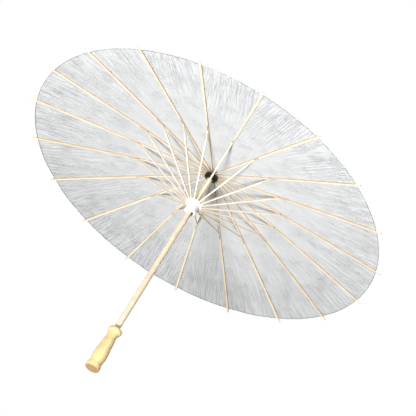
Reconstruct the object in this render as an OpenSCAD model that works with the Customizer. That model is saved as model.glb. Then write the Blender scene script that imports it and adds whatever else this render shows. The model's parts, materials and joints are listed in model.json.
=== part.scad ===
// Oil paper umbrella: split bamboo ribs and stretchers on a straight wooden shaft, shown open.
// +Z runs up the shaft from the foot of the handle, which is at the origin. rib_01 points along -Y.

/* [Canopy] */
// Radius of the circle through the rib tips
tip_radius = 410; // [395:1:425]
// How far each rib tip stands out past the paper
tip_overhang = 12; // [10:1:16]
// Drop from the upper pivots to the rib tips
tip_drop = 54; // [50:1:60]
// Thickness of the paper solid
paper_t = 0.3; // [0.2:0.05:0.5]
// Radius of the thread round the paper's edge
thread_r = 0.6; // [0.4:0.1:0.7]

/* [Shaft and handle] */
// Height of the upper pivots above the handle's foot
pivot_height = 527; // [522:1:532]
// Radius of the shaft
shaft_r = 6; // [5.8:0.1:6.2]
// Length of the turned handle
handle_length = 101; // [96:1:106]
// Radius of the handle's cylindrical foot
foot_r = 14.8; // [14.4:0.1:15.2]

/* [Ribs] */
// Number of ribs, with one stretcher to each
rib_count = 19; // [15:1:19]
// Radius of the circle of upper pivots
hub_pivot_r = 11; // [11:0.1:11.5]
// Depth of a rib, seen from its side
rib_depth = 3; // [2.8:0.1:3.2]
// Width of a rib where it leaves the upper hub
rib_inner_w = 2.6; // [2.4:0.1:2.6]
// Width of a rib under the paper
rib_outer_w = 4.4; // [4:0.1:4.6]
// Distance from the shaft's axis to the joint between rib and stretcher
joint_radius = 168; // [160:1:176]
// Drop from the upper pivots to a rib's middle line at that joint
joint_drop = 19.5; // [19:0.1:20]

/* [Stretchers and runner] */
// Depth of a stretcher, seen from its side
stretcher_depth = 2.6; // [2.4:0.1:2.6]
// Width of a stretcher along its middle
stretcher_w = 3.2; // [2.8:0.1:3.2]
// Drop from the upper pivots to the runner's pivots with the umbrella open
runner_drop = 86; // [82:1:90]
// Radius of the circle of the runner's pivots
runner_pivot_r = 16; // [15.8:0.1:16.3]
// Length of the runner
runner_length = 31; // [29:1:32]

/* [Hidden] */
function numbered(stem, i) = str(stem, i < 10 ? "0" : "", i);

$fn = 64;
slack = 0.05;          // radial clearance of a running fit
glue = 0.02;           // radial gap of a glued fit
wire_r = 0.45;         // both hinge wires
pin_r = 0.6;           // the pin through a rib and its stretcher
rib_pitch = 360 / rib_count;
first_azimuth = -90;   // rib_01 points along -Y
catch_azimuth = -35;
far = 40;              // longer than anything it cuts

// Upper hub
hub_r = 14.5;
hub_core_r = hub_pivot_r - 2.2;
hub_bottom = pivot_height - 13;
hub_top = pivot_height + 6;
hub_slot_w = 1.9;
hub_slot_top = pivot_height + 2.6;
rib_tongue_w = hub_slot_w - 0.3;
rib_tongue_end = 12;

// A rib's middle line falls by rib_a * x + rib_b * x * x at x past the upper pivot
joint_x = joint_radius - hub_pivot_r;
tip_x = tip_radius - hub_pivot_r;
rib_b = (tip_drop / tip_x - joint_drop / joint_x) / (tip_x - joint_x);
rib_a = joint_drop / joint_x - rib_b * joint_x;
function rib_fall(x) = rib_a * x + rib_b * x * x;
function rib_top(r) = pivot_height - rib_fall(r - hub_pivot_r) + rib_depth / 2;
paper_r = tip_radius - tip_overhang;
paper_gap = 0.3;       // between a rib and the paper solid over it
paper_inner_r = hub_pivot_r + 12.5; // clear of the upper hub when folded
centre_paper_r = paper_inner_r + 3;
rib_steps = 14;
taper_end = 380;       // where a rib reaches its full width

// Joint between rib and stretcher: the pin lies below the rib's middle, in a small boss
pin_offset = 1.2;
boss_r = 2;
pin_z = pivot_height - joint_drop - pin_offset;
joint_slot_w = 1.8;
joint_slot_in = 5;     // slot length from the pin towards the hub
joint_slot_out = 20;   // and towards the tip, where the folded stretcher lies
tongue_w = 1.3;
tongue_length = 18;

// Runner
runner_z = pivot_height - runner_drop;
runner_bottom = runner_z - 21;
runner_neck_r = 12.6;
flange_r = 18.2;
flange_below = 3;
flange_above = 3.5;
runner_slot_w = 2.4;
toe_w = 2;
toe_length = 22;
toe_taper = 45;        // where a stretcher reaches its full width
toe_bevel = 10.3;      // the toe is open above the wire, so that it can leave it
stretcher_rise = pin_z - runner_z;
stretcher_run = joint_radius - runner_pivot_r;
stretcher_length = norm([stretcher_run, stretcher_rise]);
stretcher_angle = atan2(stretcher_rise, stretcher_run);

// Catch: a springy strip pinned in a slot of the shaft, hooked under the runner
catch_w = 1.8;
catch_slot_w = 2.4;
catch_top = runner_bottom - 0.5;
catch_pivot_x = 2.5;
catch_pivot_z = catch_top - 26.5;
catch_slot_back = -1.8;

shaft_top = pivot_height + 25;
spigot_r = 4;          // the shaft's upper end, inside the finial
cap_bottom = rib_top(hub_r) + 2 * (paper_gap + paper_t) + 0.2;
cap_top = hub_top + 4.5;
finial_top = cap_top + 21.5;

// Smooth outline through [height, radius] stations, each pair joined by half a cosine wave
function between(a, b, t) = a + (b - a) * (1 - cos(180 * t)) / 2;
function outline(stations, steps) = [
    for (i = [0:len(stations) - 2], k = [0:steps - 1])
        let (a = stations[i], b = stations[i + 1], t = k / steps)
            [between(a[1], b[1], t), a[0] + (b[0] - a[0]) * t]];
function last_point(stations) = let (s = stations[len(stations) - 1]) [s[1], s[0]];

// A solid of revolution under that outline
module turned(stations, steps = 6) {
    low = stations[0][0];
    high = stations[len(stations) - 1][0];
    rotate_extrude()
        polygon(concat([[0, low]], outline(stations, steps), [last_point(stations), [0, high]]));
}

module ring(r, wire) {
    rotate_extrude() translate([r, 0]) circle(r = wire, $fn = 24);
}

// A pin or its hole, across a rib's or stretcher's own plane
module cross_pin(x, z, r, w) {
    translate([x, w / 2, z]) rotate([90, 0, 0]) cylinder(r = r, h = w, $fn = 32);
}

// An outline in the X and Z of a rib's own plane, w wide
module side_plate(points, w) {
    translate([0, w / 2, 0]) rotate([90, 0, 0]) linear_extrude(w) polygon(points);
}

// Radial slots round the shaft's axis, one to each rib, open outwards
module radial_slots(from_r, w, low, high) {
    for (i = [0:rib_count - 1])
        rotate(first_azimuth + i * rib_pitch)
            translate([from_r, -w / 2, low]) cube([far, w, high - low]);
}

module shaft() {
    color("burlywood") difference() {
        union() {
            cylinder(r = shaft_r, h = cap_top);
            cylinder(r = spigot_r, h = shaft_top);
        }
        rotate(catch_azimuth) {
            translate([catch_slot_back, -catch_slot_w / 2, catch_pivot_z - 4])
                cube([far, catch_slot_w, catch_top - catch_pivot_z + 6]);
            cross_pin(catch_pivot_x, catch_pivot_z, pin_r + glue, far);
        }
    }
}

module handle() {
    bead_r = 6.8;
    bead_z = handle_length - bead_r;
    bead_x = 7.8;
    body = [[0, foot_r - 0.8], [0.8, foot_r], [7, foot_r], [15, 13.2], [33, 14.7], [61, 12.3],
            [81, 10.3], [87, 10.9]];
    bead = [for (t = [-50:10:90]) [bead_x + bead_r * cos(t), bead_z + bead_r * sin(t)]];
    color("khaki") difference() {
        rotate_extrude() polygon(concat([[0, 0]], outline(body, 6), bead, [[0, handle_length]]));
        translate([0, 0, -1]) cylinder(r = shaft_r + glue, h = handle_length + 2);
    }
}

module upper_hub() {
    color("black") difference() {
        turned([[hub_bottom, hub_core_r], [hub_bottom + 5, hub_r], [hub_top - 2, hub_r],
                [hub_top, hub_r - 2]], 4);
        cylinder(r = shaft_r + glue, h = shaft_top);
        radial_slots(hub_core_r, hub_slot_w, hub_bottom - 1, hub_slot_top);
        translate([0, 0, pivot_height]) ring(hub_pivot_r, wire_r + slack);
    }
}

module hub_wire() {
    color("dimgray") translate([0, 0, pivot_height]) ring(hub_pivot_r, wire_r);
}

module top_cap() {
    color("black") difference() {
        turned([[cap_bottom, 19], [cap_bottom + 1.5, 19.6], [cap_top - 1.5, 15], [cap_top, 9]], 8);
        translate([0, 0, cap_bottom - 1]) cylinder(r = hub_r + 0.1, h = hub_top - cap_bottom + 1.05);
        cylinder(r = shaft_r + glue, h = cap_top + 1);
    }
}

module finial() {
    base = cap_top + 0.05;
    color("burlywood") difference() {
        turned([[base, 8], [base + 2.5, 8.2], [base + 5, 5.9], [base + 9, 6.6],
                [base + 15, 7.4], [finial_top - 2.5, 5.5], [finial_top - 0.6, 3.2], [finial_top, 1.4]], 6);
        cylinder(r = spigot_r + glue, h = shaft_top + 0.1);
    }
}

// A sheet of paper that follows the ribs' upper faces, gap above them
module paper_cone(inner_r, outer_r, gap, steps) {
    radii = [for (i = [0:steps]) inner_r + (outer_r - inner_r) * i / steps];
    under = [for (r = radii) [r, rib_top(r) + gap]];
    over = [for (i = [steps:-1:0]) under[i] + [0, paper_t]];
    color("white") rotate_extrude($fn = 96) polygon(concat(under, over));
}

module canopy() {
    paper_cone(paper_inner_r, paper_r - 0.8, paper_gap, 24);
}

// Round patch over the middle of the canopy, under the cap
module centre_paper() {
    paper_cone(hub_r + 0.2, centre_paper_r, 2 * paper_gap + paper_t, 2);
}

module rim_thread() {
    color("dimgray") translate([0, 0, rib_top(paper_r) - 0.9]) ring(paper_r, thread_r, $fn = 96);
}

module runner_flange() {
    low = runner_z - flange_below;
    high = runner_z + flange_above;
    difference() {
        turned([[low, flange_r - 0.7], [low + 0.7, flange_r],
                [high - 0.7, flange_r], [high, flange_r - 0.7]], 2);
        radial_slots(runner_neck_r - 1, runner_slot_w, low - 1, high + 1);
        translate([0, 0, runner_z]) ring(runner_pivot_r, wire_r + slack);
    }
}

module runner() {
    high = runner_bottom + runner_length;
    color("white") difference() {
        union() {
            turned([[runner_bottom, runner_neck_r - 0.8], [runner_bottom + 0.8, runner_neck_r],
                    [high - 3, runner_neck_r], [high, runner_neck_r - 2.5]], 2);
            runner_flange();
        }
        translate([0, 0, runner_bottom - 1]) cylinder(r = shaft_r + 0.4, h = runner_length + 2);
    }
}

module runner_wire() {
    color("dimgray") translate([0, 0, runner_z]) ring(runner_pivot_r, wire_r);
}

module catch() {
    strip = [[1.4, -2], [4, -2], [4.6, 10], [8.9, 24.6], [8.9, 25.9], [6.2, 26.5], [2, 26.5], [1.4, 10]];
    color("dimgray") rotate(catch_azimuth) difference() {
        side_plate([for (p = strip) [p[0], p[1] + catch_pivot_z]], catch_w);
        cross_pin(catch_pivot_x, catch_pivot_z, pin_r + slack, far);
    }
}

module catch_pin() {
    half = sqrt(shaft_r * shaft_r - catch_pivot_x * catch_pivot_x) - 0.2;
    color("dimgray") rotate(catch_azimuth) cross_pin(catch_pivot_x, catch_pivot_z, pin_r, 2 * half);
}

// One rib with its pin, in its own plane, before it is turned to its place
module rib_strip() {
    half = rib_depth / 2;
    x_end = tip_x - 1;
    xs = [for (i = [0:rib_steps]) x_end * i / rib_steps];
    over = [for (x = xs) [hub_pivot_r + x, pivot_height - rib_fall(x) + half]];
    under = [for (i = [rib_steps:-1:0]) [hub_pivot_r + xs[i], pivot_height - rib_fall(xs[i]) - half]];
    nose = [hub_pivot_r + tip_x, pivot_height - rib_fall(tip_x) + 0.2];
    plan = [[-2, rib_tongue_w / 2], [rib_tongue_end, rib_tongue_w / 2],
            [rib_tongue_end + 3, rib_inner_w / 2], [taper_end, rib_outer_w / 2],
            [tip_x - 2, rib_outer_w / 2], [tip_x, rib_outer_w / 2 - 0.8]];
    plan_back = [for (i = [len(plan) - 1:-1:0]) [plan[i][0], -plan[i][1]]];
    difference() {
        union() {
            intersection() {
                side_plate(concat(over, [nose], under), rib_outer_w + 2);
                translate([hub_pivot_r, 0, pivot_height - 2 * tip_drop])
                    linear_extrude(3 * tip_drop) polygon(concat(plan, plan_back));
            }
            cross_pin(hub_pivot_r, pivot_height, half, rib_tongue_w);
            cross_pin(joint_radius, pin_z, boss_r, rib_outer_w);
        }
        cross_pin(hub_pivot_r, pivot_height, wire_r + 0.1, far);
        cross_pin(joint_radius, pin_z, pin_r + glue, far);
        translate([joint_radius - joint_slot_in, -joint_slot_w / 2, pin_z - far / 2])
            cube([joint_slot_in + joint_slot_out, joint_slot_w, far]);
        // Notch that holds the rim thread
        translate([paper_r - 1.1, -far / 2, rib_top(paper_r) - 2]) cube([2.2, far, far]);
    }
    cross_pin(joint_radius, pin_z, pin_r, rib_outer_w);
}

module rib(i) {
    color("wheat") rotate(first_azimuth + (i - 1) * rib_pitch) rib_strip();
}

// One stretcher, from the runner's wire to the rib's pin
module stretcher_strip() {
    half = stretcher_depth / 2;
    full = stretcher_length - tongue_length;
    side = [[-1.2, -half], [stretcher_length, -half], [stretcher_length, half], [toe_bevel, half],
            [0, -wire_r - 0.1], [-1.2, -wire_r - 0.1]];
    plan = [[-2, toe_w / 2], [toe_length, toe_w / 2], [toe_taper, stretcher_w / 2],
            [full - 1, stretcher_w / 2], [full, tongue_w / 2], [stretcher_length + far, tongue_w / 2]];
    plan_back = [for (i = [len(plan) - 1:-1:0]) [plan[i][0], -plan[i][1]]];
    translate([runner_pivot_r, 0, runner_z]) rotate([0, -stretcher_angle, 0]) difference() {
        union() {
            intersection() {
                side_plate(side, stretcher_w + 1);
                translate([0, 0, -far / 2]) linear_extrude(far) polygon(concat(plan, plan_back));
            }
            cross_pin(stretcher_length, 0, half, tongue_w);
        }
        cross_pin(stretcher_length, 0, pin_r + slack, far);
    }
}

module stretcher(i) {
    color("wheat") rotate(first_azimuth + (i - 1) * rib_pitch) stretcher_strip();
}

shaft();
handle();
upper_hub();
hub_wire();
top_cap();
finial();
canopy();
centre_paper();
rim_thread();
runner();
runner_wire();
catch();
catch_pin();
for (i = [1:rib_count]) rib(i);
for (i = [1:rib_count]) stretcher(i);
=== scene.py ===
import json
import math
import random

import bmesh
import bpy
from mathutils import Matrix, Vector, noise


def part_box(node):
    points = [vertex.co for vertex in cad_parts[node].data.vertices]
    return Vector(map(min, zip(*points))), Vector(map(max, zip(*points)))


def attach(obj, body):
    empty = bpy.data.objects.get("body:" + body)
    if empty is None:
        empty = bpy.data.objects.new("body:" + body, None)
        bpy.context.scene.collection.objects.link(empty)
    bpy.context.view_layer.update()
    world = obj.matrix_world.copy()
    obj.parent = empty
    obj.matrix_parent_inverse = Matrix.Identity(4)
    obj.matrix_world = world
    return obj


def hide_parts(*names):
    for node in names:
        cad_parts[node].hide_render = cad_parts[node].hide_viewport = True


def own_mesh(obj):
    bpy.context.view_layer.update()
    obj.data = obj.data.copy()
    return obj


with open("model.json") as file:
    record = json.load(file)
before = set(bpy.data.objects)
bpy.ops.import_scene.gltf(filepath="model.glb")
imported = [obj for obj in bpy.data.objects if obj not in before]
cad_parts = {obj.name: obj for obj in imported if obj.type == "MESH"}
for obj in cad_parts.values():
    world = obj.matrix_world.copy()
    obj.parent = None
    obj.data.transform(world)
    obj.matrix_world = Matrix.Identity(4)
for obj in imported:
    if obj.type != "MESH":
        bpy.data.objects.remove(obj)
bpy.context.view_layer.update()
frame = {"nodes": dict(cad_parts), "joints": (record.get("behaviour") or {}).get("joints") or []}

scene = bpy.context.scene
print("frame loaded")


# measures that the frame gives

joints = {joint["name"]: joint for joint in frame["joints"]}
ribPivot = Vector(joints["rib_fold_01"]["pos_m"])
kneePin = Vector(joints["stretcher_fold_01"]["pos_m"])
ribNames = sorted(name for name in frame["nodes"] if name.startswith("rib_"))
ribPitch = 2 * math.pi / len(ribNames)
pivotRadius = -ribPivot.y
kneeRadius = -kneePin.y
tipRadius = -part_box("rib_01")[0].y

ribLine = {
    "tipDrop": 0.054,        # from the pivots down to the tips
    "pinOffset": 0.0012,     # the knee pin lies this far under the rib's middle
    "depth": 0.003,
    "innerWidth": 0.0026,
    "outerWidth": 0.0044,
    "taperStart": 0.015,
    "taperEnd": 0.38,
}

kneeX = kneeRadius - pivotRadius
tipX = tipRadius - pivotRadius
kneeDrop = ribPivot.z - kneePin.z - ribLine["pinOffset"]
fallCurve = (ribLine["tipDrop"] / tipX - kneeDrop / kneeX) / (tipX - kneeX)
fallSlope = kneeDrop / kneeX - fallCurve * kneeX


def ribAzimuth(index):
    return index * ribPitch - math.pi / 2


def ribTop(radius):  # height of a rib's upper face
    x = radius - pivotRadius
    return ribPivot.z - fallSlope * x - fallCurve * x * x + ribLine["depth"] / 2


def ribEdge(radius):  # half the width of a rib
    share = (radius - pivotRadius - ribLine["taperStart"]) / (ribLine["taperEnd"] - ribLine["taperStart"])
    return (ribLine["innerWidth"] + (ribLine["outerWidth"] - ribLine["innerWidth"]) * min(share, 1)) / 2


def smoothStep(value):
    value = max(0.0, min(1.0, value))
    return value * value * (3 - 2 * value)


# camera

camera = {
    "lens": 138.5,
    "sensor": 36,
    "place": (0.0034, -2.8044, -1.3424),
    "aim": (0.0282, -0.0011, 0.4516),
    "roll": 31.7,
}


def setCamera():
    data = bpy.data.cameras.new("camera")
    data.lens = camera["lens"]
    data.sensor_width = camera["sensor"]
    eye = bpy.data.objects.new("camera", data)
    scene.collection.objects.link(eye)
    look = Vector(camera["aim"]) - Vector(camera["place"])
    turn = look.to_track_quat("-Z", "Y").to_matrix() @ Matrix.Rotation(math.radians(camera["roll"]), 3, "Z")
    eye.matrix_world = Matrix.Translation(camera["place"]) @ turn.to_4x4()
    scene.camera = eye


setCamera()
print("camera set")


# small helpers for shader nodes

def feed(tree, node, name, value):  # value is another node's output or a constant
    if isinstance(value, bpy.types.NodeSocket):
        tree.links.new(value, node.inputs[name])
    else:
        node.inputs[name].default_value = value


def addNode(tree, kind, sockets=None, **settings):
    node = tree.nodes.new("ShaderNode" + kind)
    for name, value in settings.items():
        setattr(node, name, value)
    for name, value in (sockets or {}).items():
        feed(tree, node, name, value)
    return node


def calc(tree, operation, first, second=0.0, clamp=False):
    return addNode(tree, "Math", {0: first, 1: second}, operation=operation, use_clamp=clamp).outputs[0]


def remap(tree, value, low, high, newLow=0.0, newHigh=1.0):
    sockets = {"Value": value, "From Min": low, "From Max": high, "To Min": newLow, "To Max": newHigh}
    return addNode(tree, "MapRange", sockets).outputs[0]


def blendColour(tree, share, first, second):  # sockets 6 and 7 of a Mix node are its two colours
    return addNode(tree, "Mix", {0: share, 6: first, 7: second}, data_type="RGBA").outputs[2]


def stretched(tree, vector, scale):
    return addNode(tree, "VectorMath", {0: vector, 1: scale}, operation="MULTIPLY").outputs[0]


def cloud(tree, vector, scale=1.0, detail=3.0, roughness=0.5):
    sockets = {"Vector": vector, "Scale": scale, "Detail": detail, "Roughness": roughness}
    return addNode(tree, "TexNoise", sockets).outputs[0]


def startGroup(name, inputs, outputs):
    group = bpy.data.node_groups.new(name, "ShaderNodeTree")
    for socketName, kind in inputs:
        group.interface.new_socket(socketName, in_out="INPUT", socket_type="NodeSocket" + kind)
    for socketName, kind in outputs:
        group.interface.new_socket(socketName, in_out="OUTPUT", socket_type="NodeSocket" + kind)
    return group, group.nodes.new("NodeGroupInput").outputs, group.nodes.new("NodeGroupOutput").inputs


def useGroup(tree, group, sockets):
    node = tree.nodes.new("ShaderNodeGroup")
    node.node_tree = group
    for name, value in sockets.items():
        feed(tree, node, name, value)
    return node.outputs


def startMaterial(name):
    material = bpy.data.materials.new(name)
    material.use_nodes = True
    tree = material.node_tree
    return material, tree, tree.nodes["Principled BSDF"]


def addBump(tree, shader, height, strength, distance):
    bump = addNode(tree, "Bump", {"Height": height, "Strength": strength, "Distance": distance})
    tree.links.new(bump.outputs[0], shader.inputs["Normal"])


# shared effects

grainScale = {"fibres": (16, 1400, 1400), "drift": (6, 110, 110), "dashes": (70, 2600, 2600)}


def makeSplitGrain():  # long fibres along X, as in split bamboo and straight wood
    group, given, result = startGroup(
        "splitGrain",
        [("Vector", "Vector"), ("Pale", "Color"), ("Deep", "Color"), ("Depth", "Float")],
        [("Color", "Color"), ("Roughness", "Float"), ("Height", "Float")],
    )
    fibres = cloud(group, stretched(group, given["Vector"], grainScale["fibres"]), 1, 4, 0.6)
    drift = cloud(group, stretched(group, given["Vector"], grainScale["drift"]), 1, 3, 0.5)
    dashes = cloud(group, stretched(group, given["Vector"], grainScale["dashes"]), 1, 2)
    dashes = remap(group, dashes, 0.60, 0.72)
    share = calc(group, "ADD", calc(group, "MULTIPLY", fibres, 0.45), calc(group, "MULTIPLY", drift, 0.75))
    share = remap(group, share, 0.42, 0.86)
    share = calc(group, "MULTIPLY", share, given["Depth"], clamp=True)
    colour = blendColour(group, share, given["Pale"], given["Deep"])
    colour = blendColour(group, calc(group, "MULTIPLY", dashes, 0.35), colour, given["Deep"])
    group.links.new(colour, result["Color"])
    group.links.new(remap(group, fibres, 0.3, 0.7, 0.42, 0.62), result["Roughness"])
    height = calc(group, "SUBTRACT", fibres, calc(group, "MULTIPLY", dashes, 0.4))
    group.links.new(height, result["Height"])
    return group


soilScale = {"patches": 34, "specks": 620}


def makeHandling():  # marks of use: faint soil in soft patches with fine specks
    group, given, result = startGroup(
        "handling", [("Vector", "Vector"), ("Amount", "Float")], [("Mask", "Float")]
    )
    patches = remap(group, cloud(group, given["Vector"], soilScale["patches"], 3, 0.6), 0.48, 0.74)
    specks = remap(group, cloud(group, given["Vector"], soilScale["specks"], 2, 0.7), 0.56, 0.74)
    both = calc(group, "MAXIMUM", patches, calc(group, "MULTIPLY", specks, 0.6))
    group.links.new(calc(group, "MULTIPLY", both, given["Amount"], clamp=True), result["Mask"])
    return group


splitGrain = makeSplitGrain()
handling = makeHandling()


# bamboo ribs and stretchers

bamboo = {
    "ribPale": (0.91, 0.82, 0.66, 1),
    "ribDeep": (0.74, 0.59, 0.39, 1),
    "stretcherPale": (0.93, 0.88, 0.77, 1),
    "stretcherDeep": (0.84, 0.74, 0.58, 1),
    "skin": (0.46, 0.30, 0.15, 1),      # the sides of a split strip: the skin's darker colour, with painted shade
    "stain": (0.085, 0.045, 0.022, 1),  # round the pins
    "stainRadius": 0.0008,
    "endGrain": (0.26, 0.15, 0.07, 1),  # the cut ends at the rib tips
    "endInset": (0.0007, 0.0004),       # the end grain's colour fades in between these two
    "sideShare": 0.5,                   # how far a side takes the skin colour and painted shade
    "grainDepth": 0.9,
    "reliefHeight": 0.0002,
}


def stripMaterial(name, azimuth, pale, deep, stainAt, seed):
    material, tree, shader = startMaterial(name)
    coordinates = addNode(tree, "TexCoord")
    turn = (0, 0, -azimuth)
    lying = addNode(tree, "Mapping", {"Vector": coordinates.outputs["Object"], "Rotation": turn}).outputs[0]
    shifted = addNode(tree, "VectorMath", {0: lying, 1: (seed, seed * 0.37, 0)}, operation="ADD").outputs[0]
    sockets = {"Vector": shifted, "Pale": pale, "Deep": deep, "Depth": bamboo["grainDepth"]}
    grain = useGroup(tree, splitGrain, sockets)
    facing = addNode(
        tree, "Mapping", {"Vector": coordinates.outputs["Normal"], "Rotation": turn}, vector_type="VECTOR"
    ).outputs[0]
    # the strip's sides are darkened towards the skin colour: partly the bamboo's own skin, partly painted
    # shade on the sides
    sideways = calc(tree, "ABSOLUTE", addNode(tree, "SeparateXYZ", {0: facing}).outputs[1])
    sideShare = remap(tree, sideways, 0.6, 0.95, 0, bamboo["sideShare"])
    colour = blendColour(tree, sideShare, grain["Color"], bamboo["skin"])
    place = addNode(tree, "SeparateXYZ", {0: lying}).outputs
    offX = calc(tree, "SUBTRACT", place[0], stainAt[0])
    offZ = calc(tree, "SUBTRACT", place[2], stainAt[1])
    reach = addNode(tree, "CombineXYZ", {0: offX, 2: offZ}).outputs[0]
    distance = addNode(tree, "VectorMath", {0: reach}, operation="LENGTH").outputs[1]
    stain = remap(tree, distance, bamboo["stainRadius"], bamboo["stainRadius"] * 1.7, 1, 0)
    colour = blendColour(tree, stain, colour, bamboo["stain"])
    tip = remap(tree, place[0], tipRadius - bamboo["endInset"][0], tipRadius - bamboo["endInset"][1])
    colour = blendColour(tree, tip, colour, bamboo["endGrain"])
    feed(tree, shader, "Base Color", colour)
    feed(tree, shader, "Roughness", grain["Roughness"])
    addBump(tree, shader, grain["Height"], 0.5, bamboo["reliefHeight"])
    return material


def dressNode(name, material):
    node = frame["nodes"][name]
    if not node.material_slots:
        node.data.materials.append(material)
    for slot in node.material_slots:
        slot.material = material


def tinted(colour, factor, warm):
    return (colour[0] * factor, colour[1] * factor * (1 - warm * 0.4), colour[2] * factor * (1 - warm), 1)


shades = random.Random(19)
knee = (kneeRadius, kneePin.z)
for index, ribName in enumerate(ribNames):
    number = ribName[-2:]
    factor = shades.uniform(0.92, 1.04)
    warm = shades.uniform(-0.04, 0.10)
    dressNode(ribName, stripMaterial(
        "ribBamboo" + number, ribAzimuth(index), tinted(bamboo["ribPale"], factor, warm),
        tinted(bamboo["ribDeep"], factor, warm), knee, index * 0.83,
    ))
    factor = shades.uniform(0.93, 1.04)
    dressNode("stretcher_" + number, stripMaterial(
        "stretcherBamboo" + number, ribAzimuth(index), tinted(bamboo["stretcherPale"], factor, warm),
        tinted(bamboo["stretcherDeep"], factor, warm), knee, index * 0.59 + 40,
    ))
print("bamboo strips finished")


# shaft, handle and finial

woods = {   # endGrain is the height up to which the cut end shows; below 0 it is hidden
    "shaft": {
        "pale": (0.90, 0.81, 0.63, 1),
        "deep": (0.74, 0.58, 0.37, 1),
        "coat": 0.1,
        "endGrain": 0.0004,
    },
    "handle": {
        "pale": (0.84, 0.66, 0.34, 1),
        "deep": (0.56, 0.36, 0.13, 1),
        "coat": 0.35,
        "endGrain": 0.0004,
    },
    "finial": {
        "pale": (0.82, 0.66, 0.42, 1),
        "deep": (0.58, 0.39, 0.20, 1),
        "coat": 0.25,
        "endGrain": -1,
    },
}

woodFinish = {
    "grainDepth": 0.8,
    "soil": (0.36, 0.21, 0.09, 1),
    "soilAmount": 0.35,
    "endRings": 260,
    "endDark": (0.30, 0.17, 0.075, 1),
    "endLight": (0.46, 0.29, 0.14, 1),
    "endFade": 0.0002,
    "turningMarks": 300,
    "turningShare": 0.04,
    "reliefHeight": 0.0003,
}


def woodMaterial(name, wood):
    material, tree, shader = startMaterial(name)
    coordinates = addNode(tree, "TexCoord").outputs["Object"]
    upright = addNode(tree, "Mapping", {"Vector": coordinates, "Rotation": (0, math.pi / 2, 0)}).outputs[0]
    sockets = {"Vector": upright, "Pale": wood["pale"], "Deep": wood["deep"]}
    sockets["Depth"] = woodFinish["grainDepth"]
    grain = useGroup(tree, splitGrain, sockets)
    soil = useGroup(tree, handling, {"Vector": coordinates, "Amount": woodFinish["soilAmount"]})["Mask"]
    colour = blendColour(tree, soil, grain["Color"], woodFinish["soil"])
    height = addNode(tree, "SeparateXYZ", {0: coordinates}).outputs[2]
    sockets = {"Vector": coordinates, "Scale": woodFinish["endRings"], "Distortion": 2.5, "Detail": 2}
    rings = addNode(tree, "TexWave", sockets, wave_type="RINGS", rings_direction="Z").outputs["Fac"]
    endColour = blendColour(tree, rings, woodFinish["endDark"], woodFinish["endLight"])
    endShare = remap(tree, height, wood["endGrain"], wood["endGrain"] + woodFinish["endFade"], 1, 0)
    colour = blendColour(tree, endShare, colour, endColour)
    feed(tree, shader, "Base Color", colour)
    feed(tree, shader, "Roughness", grain["Roughness"])
    feed(tree, shader, "Coat Weight", wood["coat"])
    feed(tree, shader, "Coat Roughness", 0.3)
    sockets = {"Vector": coordinates, "Scale": woodFinish["turningMarks"], "Distortion": 1.5, "Detail": 1}
    turning = addNode(tree, "TexWave", sockets, wave_type="BANDS", bands_direction="Z").outputs["Fac"]
    relief = calc(tree, "MULTIPLY", turning, woodFinish["turningShare"])
    relief = calc(tree, "ADD", relief, grain["Height"])
    addBump(tree, shader, relief, 0.45, woodFinish["reliefHeight"])
    return material


for nodeName, wood in woods.items():
    dressNode(nodeName, woodMaterial(nodeName + "Wood", wood))
print("woods finished")


# hub, cap, runner and metal

lacquerLook = {
    "base": (0.006, 0.006, 0.007, 1),
    "dust": (0.035, 0.033, 0.030, 1),
    "coat": 1.0,
    "coatRoughness": 0.06,
    "unevenness": 420,
}
runnerLook = {
    "base": (0.90, 0.89, 0.87, 1),
    "soil": (0.60, 0.55, 0.47, 1),
    "unevenness": 700,
}
steelLook = {
    "wire": (0.42, 0.41, 0.39, 1),
    "spring": (0.16, 0.14, 0.12, 1),
    "tarnish": (0.10, 0.075, 0.055, 1),
    "metallic": 0.9,
    "tarnishScale": 520,
}
smoothRelief = 0.0002   # height of the faint unevenness on the hub and runner


def lacquerMaterial():
    material, tree, shader = startMaterial("blackLacquer")
    coordinates = addNode(tree, "TexCoord").outputs["Object"]
    soil = useGroup(tree, handling, {"Vector": coordinates, "Amount": 0.5})["Mask"]
    colour = blendColour(tree, soil, lacquerLook["base"], lacquerLook["dust"])
    feed(tree, shader, "Base Color", colour)
    feed(tree, shader, "Roughness", remap(tree, soil, 0, 0.5, 0.14, 0.42))
    feed(tree, shader, "Coat Weight", lacquerLook["coat"])
    feed(tree, shader, "Coat Roughness", lacquerLook["coatRoughness"])
    addBump(tree, shader, cloud(tree, coordinates, lacquerLook["unevenness"], 3), 0.12, smoothRelief)
    return material


def runnerMaterial():
    material, tree, shader = startMaterial("runnerWhite")
    coordinates = addNode(tree, "TexCoord").outputs["Object"]
    soil = useGroup(tree, handling, {"Vector": coordinates, "Amount": 0.3})["Mask"]
    colour = blendColour(tree, soil, runnerLook["base"], runnerLook["soil"])
    feed(tree, shader, "Base Color", colour)
    feed(tree, shader, "Roughness", remap(tree, soil, 0, 0.4, 0.36, 0.6))
    addBump(tree, shader, cloud(tree, coordinates, runnerLook["unevenness"], 3), 0.15, smoothRelief)
    return material


def steelMaterial(name, base, roughness):
    material, tree, shader = startMaterial(name)
    coordinates = addNode(tree, "TexCoord").outputs["Object"]
    tarnish = cloud(tree, coordinates, steelLook["tarnishScale"], 4, 0.65)
    colour = blendColour(tree, remap(tree, tarnish, 0.4, 0.7), base, steelLook["tarnish"])
    feed(tree, shader, "Base Color", colour)
    feed(tree, shader, "Metallic", steelLook["metallic"])
    feed(tree, shader, "Roughness", remap(tree, tarnish, 0.3, 0.7, roughness, roughness + 0.25))
    addBump(tree, shader, tarnish, 0.2, 0.0001)
    return material


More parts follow.
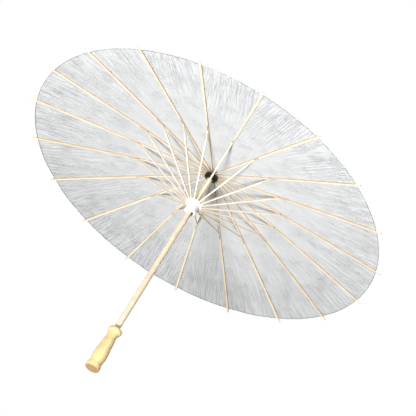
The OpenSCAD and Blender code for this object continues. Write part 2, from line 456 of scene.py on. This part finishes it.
lacquer = lacquerMaterial()
wireSteel = steelMaterial("wireSteel", steelLook["wire"], 0.3)
dressNode("upper_hub", lacquer)
dressNode("top_cap", lacquer)
dressNode("runner", runnerMaterial())
dressNode("hub_wire", wireSteel)
dressNode("runner_wire", wireSteel)
dressNode("catch_pin", wireSteel)
dressNode("catch", steelMaterial("catchSteel", steelLook["spring"], 0.42))
print("hub, runner and metal finished")


# paper

paper = {
    "innerRadius": 0.0235,
    "outerRadius": 0.398,
    "lift": 0.00006,          # glue between rib and paper
    "thickness": 0.00016,
    "columns": 60,
    "rows": 104,
    "hemRows": 8,             # the last rows turn down over the rim thread
    "hemTurn": math.radians(120),
    "hemRadius": 0.0006,
    "creaseHeight": 0.0013,   # long creases near the rim
    "rumpleHeight": 0.0008,
    "creaseSpacing": 0.0048,
    "glueWidth": 0.006,       # the paper lies flat this far beside a rib
    "foldTilt": math.radians(9.5),
    "foldKeep": 0.01,
    "white": (0.70, 0.71, 0.72, 1),
    "shade": (0.655, 0.67, 0.685, 1),
    # a darker colour painted along the crease lines: painted shade in the creases
    "crease": (0.48, 0.49, 0.51, 1),
    "through": 0.25,          # share of the light that the paper lets through
    # gores where the thread shows
    "looseHem": {14: 1.0, 17: 0.7, 18: 0.3, 0: 0.6, 1: 0.3, 2: 0.25, 7: 0.3},
    "foldSpan": (0.03, 0.39),   # the fold line runs between these two radii
}

# rates of the noise across a gore and along it, and its step from gore to gore
crumple = {
    "wander": (18, 9, 5.1),
    "long": (1, 11, 3.7),
    "fine": (2.1, 19, 9.2),
    "cluster": (22, 6, 6.3),
    "rumple": (120, 150, 2.9),
    "dent": (55, 70, 8.1),
    "patch": (20, 20, 4.4),
}
creaseShape = {
    "start": 0.17,         # the long creases grow outwards from this radius
    "reach": 0.20,
    "innerShare": 0.14,    # their height inside it
    "outerShare": 0.86,
    "wander": 0.003,
    "sharpness": 2.4,
    "longShare": 0.66,
    "fineShare": 0.34,
    "clusterLow": 0.35,
    "clusterRange": 0.65,
}


def crumpled(kind, across, along, gore):
    rateAcross, rateAlong, goreStep = crumple[kind]
    return noise.noise(Vector((across * rateAcross, along * rateAlong, gore * goreStep)))


def ridge(kind, line, radius, gore):
    return 1 - creaseShape["sharpness"] * abs(crumpled(kind, line, radius, gore))


def creaseLift(radius, fromMiddle, gore):  # how far the crumpled paper stands off its smooth cone
    across = radius * math.sin(fromMiddle)
    fromRib = radius * math.sin(ribPitch / 2 - abs(fromMiddle)) - ribEdge(radius)
    held = smoothStep(fromRib / paper["glueWidth"])
    towardsRim = smoothStep((radius - creaseShape["start"]) / creaseShape["reach"])
    rimShare = creaseShape["innerShare"] + creaseShape["outerShare"] * towardsRim
    wander = creaseShape["wander"] * crumpled("wander", across, radius, gore)
    line = (across + wander) / paper["creaseSpacing"]
    long = creaseShape["longShare"] * ridge("long", line, radius, gore)
    fine = creaseShape["fineShare"] * ridge("fine", line, radius, gore)
    cluster = smoothStep(0.5 + 1.8 * crumpled("cluster", across, radius, gore))
    cluster = creaseShape["clusterLow"] + creaseShape["clusterRange"] * cluster
    rumple = crumpled("rumple", across, radius, gore)
    dent = 0.5 - abs(crumpled("dent", across, radius, gore))
    patch = smoothStep(3.2 * crumpled("patch", across, radius, gore) - 0.1)
    lift = paper["creaseHeight"] * cluster * rimShare * (long + fine)
    return held * (lift + paper["rumpleHeight"] * patch * (rumple + dent))


def paperPoint(radius, fromRib, side, index, drop=0.0):  # fromRib is the angle from the rib's middle line
    gore = (index if side > 0 else index - 1) % len(ribNames)
    fromMiddle = (fromRib - ribPitch / 2) * side
    chordRadius = radius * math.cos(fromMiddle) / math.cos(ribPitch / 2)
    height = ribTop(chordRadius) + paper["lift"] - drop + creaseLift(radius, fromMiddle, gore)
    azimuth = ribAzimuth(index) + side * fromRib
    return Vector((radius * math.cos(azimuth), radius * math.sin(azimuth), height))


def edgeAngle(radius):
    return math.asin(ribEdge(radius) / radius)


# texture rates across a gore and along it
paperScale = {
    "creases": (190, 9, 1),
    "crepe": (70, 270, 1),
    "patches": (26, 20, 1),
    "fibre": (1500, 1500, 1),
    "cloudy": (26, 26, 1),
}
paperRelief = {"creases": 0.30, "fibre": 0.05, "height": 0.0024}


def paperMaterial():
    material, tree, shader = startMaterial("oiledPaper")
    flat = addNode(tree, "UVMap", uv_map="flat").outputs[0]
    creases = cloud(tree, stretched(tree, flat, paperScale["creases"]), 1, 2, 0.5)
    sharp = remap(tree, calc(tree, "ABSOLUTE", calc(tree, "SUBTRACT", creases, 0.5)), 0.0, 0.05, 1, 0)
    outward = remap(tree, addNode(tree, "SeparateXYZ", {0: flat}).outputs[1], 0.16, 0.36, 0.12, 1)
    sharp = calc(tree, "MULTIPLY", sharp, outward)
    sockets = {"Vector": stretched(tree, flat, paperScale["crepe"]), "Scale": 1, "Detail": 2}
    sockets["Distortion"] = 2.2
    waves = addNode(tree, "TexNoise", sockets).outputs[0]
    patches = cloud(tree, stretched(tree, flat, paperScale["patches"]), 1, 2)
    crepe = calc(tree, "MULTIPLY", waves, remap(tree, patches, 0.45, 0.62, 0.15, 1))
    fibre = cloud(tree, stretched(tree, flat, paperScale["fibre"]), 1, 3, 0.6)
    cloudy = cloud(tree, stretched(tree, flat, paperScale["cloudy"]), 1, 3, 0.55)
    share = remap(tree, calc(tree, "ADD", cloudy, calc(tree, "MULTIPLY", fibre, 0.35)), 0.45, 0.95)
    colour = blendColour(tree, share, paper["white"], paper["shade"])
    # the crease lines are darkened: painted shade
    colour = blendColour(tree, calc(tree, "MULTIPLY", sharp, 0.30), colour, paper["crease"])
    feed(tree, shader, "Base Color", colour)
    feed(tree, shader, "Roughness", remap(tree, fibre, 0.3, 0.7, 0.52, 0.70))
    relief = calc(tree, "ADD", calc(tree, "MULTIPLY", sharp, paperRelief["creases"]), crepe)
    relief = calc(tree, "ADD", relief, calc(tree, "MULTIPLY", fibre, paperRelief["fibre"]))
    addBump(tree, shader, relief, 1.0, paperRelief["height"])
    glow = addNode(tree, "BsdfTranslucent", {"Color": colour})
    mix = addNode(tree, "MixShader", {0: paper["through"], 1: shader.outputs[0], 2: glow.outputs[0]})
    tree.links.new(mix.outputs[0], tree.nodes["Material Output"].inputs["Surface"])
    return material


def newSheet(name, columns, rows, place, flatPlace, material):  # place and flatPlace take two shares, 0 to 1
    bm = bmesh.new()
    bmesh.ops.create_grid(bm, x_segments=columns, y_segments=rows, size=1)
    flatLayer = bm.loops.layers.uv.new("flat")
    for face in bm.faces:
        face.smooth = True
        for loop in face.loops:
            loop[flatLayer].uv = flatPlace((loop.vert.co.x + 1) / 2, (loop.vert.co.y + 1) / 2)
    for vert in bm.verts:
        vert.co = place((vert.co.x + 1) / 2, (vert.co.y + 1) / 2)
    bm.normal_update()
    bm.faces.ensure_lookup_table()
    if bm.faces[0].normal.z < 0:
        bmesh.ops.reverse_faces(bm, faces=bm.faces)
    mesh = bpy.data.meshes.new(name)
    bm.to_mesh(mesh)
    bm.free()
    mesh.materials.append(material)
    piece = bpy.data.objects.new(name, mesh)
    scene.collection.objects.link(piece)
    thick = piece.modifiers.new("thickness", "SOLIDIFY")
    thick.thickness = paper["thickness"]
    thick.offset = 1
    return piece


def foldPlane(index, side):  # a point on the rib's edge, and the direction in which the paper folds flat
    azimuth = ribAzimuth(index)
    radial = Vector((math.cos(azimuth), math.sin(azimuth), 0))
    across = Vector((-math.sin(azimuth), math.cos(azimuth), 0)) * side
    ends = []
    for radius in paper["foldSpan"]:
        ends.append(radial * radius + across * ribEdge(radius) + Vector((0, 0, ribTop(radius))))
    along = (ends[1] - ends[0]).normalized()
    upward = along.cross(across) * (-side)
    upward = upward if upward.z > 0 else -upward
    normal = across * math.cos(paper["foldTilt"]) + upward * math.sin(paper["foldTilt"])
    normal -= along * normal.dot(along)
    return ends[0], normal.normalized()


def sheetRadius(share):
    return paper["innerRadius"] + (paper["outerRadius"] - paper["innerRadius"]) * share


plainShare = 1 - paper["hemRows"] / paper["rows"]   # the part of the rows that lies flat


def unrolledRadius(share):
    if share <= plainShare:
        return sheetRadius(share / plainShare)
    hemShare = (share - plainShare) / (1 - plainShare)
    return paper["outerRadius"] + paper["hemRadius"] * paper["hemTurn"] * hemShare


def hemPlace(share, gore, azimuth):  # radius and drop on the sheet, whose hem turns down over the thread
    if share <= plainShare:
        return sheetRadius(share / plainShare), 0
    hemShare = (share - plainShare) / (1 - plainShare)
    openness = noise.noise(Vector((math.cos(azimuth) * 14, math.sin(azimuth) * 14, 3)))
    openness = smoothStep((openness + 2 * paper["looseHem"].get(gore, 0) - 0.9) * 3 + 0.5)
    turn = paper["hemTurn"] * (1 - 0.93 * openness) * hemShare
    radius = paper["outerRadius"] + paper["hemRadius"] * math.sin(turn)
    return radius, paper["hemRadius"] * (1 - math.cos(turn))


def addGore(index, side, material):
    gore = (index if side > 0 else index - 1) % len(ribNames)

    def angleAt(s, radius):
        return edgeAngle(radius) + (ribPitch / 2 - edgeAngle(radius)) * s

    def place(s, q):
        azimuth = ribAzimuth(index) + side * angleAt(s, unrolledRadius(q))
        radius, drop = hemPlace(q, gore, azimuth)
        return paperPoint(radius, angleAt(s, radius), side, index, drop)

    def flatPlace(s, q):
        radius = unrolledRadius(q)
        return (gore * 0.5 + radius * (angleAt(s, radius) - ribPitch / 2) * side, radius)

    name = "paper_%s_%s" % (ribNames[index][-2:], "left" if side > 0 else "right")
    piece = newSheet(name, paper["columns"], paper["rows"], place, flatPlace, material)
    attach(piece, ribNames[index])
    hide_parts("canopy")
    anchor, normal = foldPlane(index, side)
    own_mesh(piece)
    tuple(normal)
    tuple(anchor)


def addRibStrip(index, material):  # the paper glued on top of a rib
    def angleAt(s, radius):
        return edgeAngle(radius) * (2 * s - 1)

    def place(s, q):
        radius = sheetRadius(q)
        angle = angleAt(s, radius)
        return paperPoint(radius, abs(angle), 1 if angle >= 0 else -1, index)

    def flatPlace(s, q):
        radius = sheetRadius(q)
        return (index * 0.5 + 0.25 + radius * angleAt(s, radius), radius)

    name = "rib_paper_" + ribNames[index][-2:]
    piece = newSheet(name, 4, paper["rows"], place, flatPlace, material)
    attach(piece, ribNames[index])
    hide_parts("canopy")


oiledPaper = paperMaterial()
for index in range(len(ribNames)):
    addRibStrip(index, oiledPaper)
    for side in (1, -1):
        addGore(index, side, oiledPaper)
print("paper hung")


# round patch over the middle

patch = {"innerRadius": 0.0147, "outerRadius": 0.0268, "lift": 0.0009, "keep": 0.12}


def addPatch(index, material):
    azimuth = ribAzimuth(index)

    def radiusAt(q):
        return patch["innerRadius"] + (patch["outerRadius"] - patch["innerRadius"]) * q

    def place(s, q):
        radius = radiusAt(q)
        angle = azimuth + ribPitch * (s - 0.5)
        edge = 0.0004 * noise.noise(Vector((math.cos(angle) * 9, math.sin(angle) * 9, 1))) * q
        height = ribTop(radius) + patch["lift"] + edge
        return Vector(((radius + edge) * math.cos(angle), (radius + edge) * math.sin(angle), height))

    def flatPlace(s, q):
        return (index * 0.5 + radiusAt(q) * ribPitch * (s - 0.5), radiusAt(q) + 2)

    piece = newSheet("centre_paper_" + ribNames[index][-2:], 6, 6, place, flatPlace, material)
    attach(piece, "shaft")
    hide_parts("centre_paper")
    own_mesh(piece)


for index in range(len(ribNames)):
    addPatch(index, oiledPaper)
print("middle patched")


# thread round the rim

thread = {"ring": 0.398, "radius": 0.0004, "drop": 0.0006, "sides": 8, "steps": 14}


def threadMaterial():
    material, tree, shader = startMaterial("rimThread")
    coordinates = addNode(tree, "TexCoord").outputs["Object"]
    twist = cloud(tree, coordinates, 900, 2, 0.6)
    feed(tree, shader, "Base Color", blendColour(tree, twist, (0.10, 0.10, 0.11, 1), (0.30, 0.30, 0.31, 1)))
    feed(tree, shader, "Roughness", remap(tree, twist, 0.3, 0.7, 0.75, 0.95))
    addBump(tree, shader, twist, 0.6, 0.0003)
    return material


def threadPiece(name, index, startAngle, endAngle, side, steps, material):
    bm = bmesh.new()
    azimuth = ribAzimuth(index) + side * startAngle
    centre = Vector((thread["ring"] * math.cos(azimuth), thread["ring"] * math.sin(azimuth), 0))
    facing = Matrix.Rotation(azimuth, 4, "Z") @ Matrix.Rotation(math.pi / 2, 4, "X")
    bmesh.ops.create_circle(
        bm, cap_ends=True, segments=thread["sides"], radius=thread["radius"],
        matrix=Matrix.Translation(centre) @ facing,
    )
    bmesh.ops.spin(
        bm, geom=bm.verts[:] + bm.edges[:] + bm.faces[:], cent=(0, 0, 0), axis=(0, 0, 1),
        angle=side * (endAngle - startAngle), steps=steps, use_merge=False,
    )
    bmesh.ops.remove_doubles(bm, verts=bm.verts, dist=1e-6)
    for vert in bm.verts:
        radius = math.hypot(vert.co.x, vert.co.y)
        turned = (math.atan2(vert.co.y, vert.co.x) - ribAzimuth(index) + math.pi) % (2 * math.pi) - math.pi
        way = 1 if turned >= 0 else -1
        vert.co.z += paperPoint(paper["outerRadius"], abs(turned), way, index, thread["drop"]).z
    bmesh.ops.recalc_face_normals(bm, faces=bm.faces)
    for face in bm.faces:
        face.smooth = True
    mesh = bpy.data.meshes.new(name)
    bm.to_mesh(mesh)
    bm.free()
    mesh.materials.append(material)
    piece = bpy.data.objects.new(name, mesh)
    scene.collection.objects.link(piece)
    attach(piece, ribNames[index])
    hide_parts("rim_thread")
    return piece


darkThread = threadMaterial()
ringEdge = edgeAngle(thread["ring"])
for index in range(len(ribNames)):
    number = ribNames[index][-2:]
    threadPiece("thread_in_rib_" + number, index, -ringEdge, ringEdge, 1, 2, darkThread)
    for side, word in ((1, "left"), (-1, "right")):
        name = "rim_thread_%s_%s" % (number, word)
        piece = threadPiece(name, index, ringEdge, ribPitch / 2, side, thread["steps"], darkThread)
        anchor, normal = foldPlane(index, side)
        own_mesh(piece)
        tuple(normal)
        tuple(anchor)
print("rim thread tied")


# cut of the paper

def halfGoreWidth(radius):
    return radius * (ribPitch / 2 - edgeAngle(radius))


cutWidth = halfGoreWidth(paper["outerRadius"])
cutLength = paper["outerRadius"] - paper["innerRadius"]
cutArea = cutLength * (cutWidth + halfGoreWidth(paper["innerRadius"])) / 2
for ribName in ribNames:
    number = ribName[-2:]
    onLeft = ["rib_paper_", "centre_paper_", "thread_in_rib_"]
    attached = {"left": [start + number for start in onLeft] + ["rim_thread_%s_left" % number]}
    attached["right"] = ["rim_thread_%s_right" % number]
    for word, pieceNames in attached.items():
        [bpy.data.objects[each] for each in pieceNames]


# stage and light

stage = {
    "floorHeight": -3.2,
    "floorSize": 60,
    "sky": (1, 1, 1),
    "skyLight": 0.31,
    "lampAim": (0, 0, 0.45),
}

lights = {
    "key": {"place": (-0.45, -1.05, -1.25), "size": 0.5, "power": 58, "colour": (1.0, 0.99, 0.97)},
    "top": {"place": (0.1, -0.95, 1.4), "size": 0.8, "power": 45, "colour": (1.0, 1.0, 1.0)},
}


def addFloor():
    bm = bmesh.new()
    bmesh.ops.create_grid(bm, x_segments=2, y_segments=2, size=stage["floorSize"] / 2)
    bmesh.ops.translate(bm, verts=bm.verts, vec=(0, 0, stage["floorHeight"]))
    mesh = bpy.data.meshes.new("floor")
    bm.to_mesh(mesh)
    bm.free()
    material, tree, shader = startMaterial("paleFloor")
    coordinates = addNode(tree, "TexCoord").outputs["Object"]
    tone = blendColour(tree, cloud(tree, coordinates, 3, 3), (0.86, 0.86, 0.86, 1), (0.88, 0.88, 0.88, 1))
    feed(tree, shader, "Base Color", tone)
    feed(tree, shader, "Roughness", 0.8)
    mesh.materials.append(material)
    floor = bpy.data.objects.new("floor", mesh)
    scene.collection.objects.link(floor)


def addSky():
    world = bpy.data.worlds.new("sky")
    scene.world = world
    world.use_nodes = True
    tree = world.node_tree
    background = tree.nodes["Background"]
    background.inputs["Color"].default_value = (*stage["sky"], 1)
    seen = addNode(tree, "LightPath").outputs["Is Camera Ray"]
    tree.links.new(remap(tree, seen, 0, 1, stage["skyLight"], 1.0), background.inputs["Strength"])


def addLight(name, light):
    data = bpy.data.lights.new(name, "AREA")
    data.shape = "DISK"
    data.size = light["size"]
    data.energy = light["power"]
    data.color = light["colour"]
    lamp = bpy.data.objects.new(name, data)
    scene.collection.objects.link(lamp)
    look = Vector(stage["lampAim"]) - Vector(light["place"])
    turn = look.to_track_quat("-Z", "Y").to_matrix().to_4x4()
    lamp.matrix_world = Matrix.Translation(light["place"]) @ turn


addFloor()
addSky()
for lightName, light in lights.items():
    addLight(lightName, light)
scene.view_settings.view_transform = "Standard"
print("stage lit")
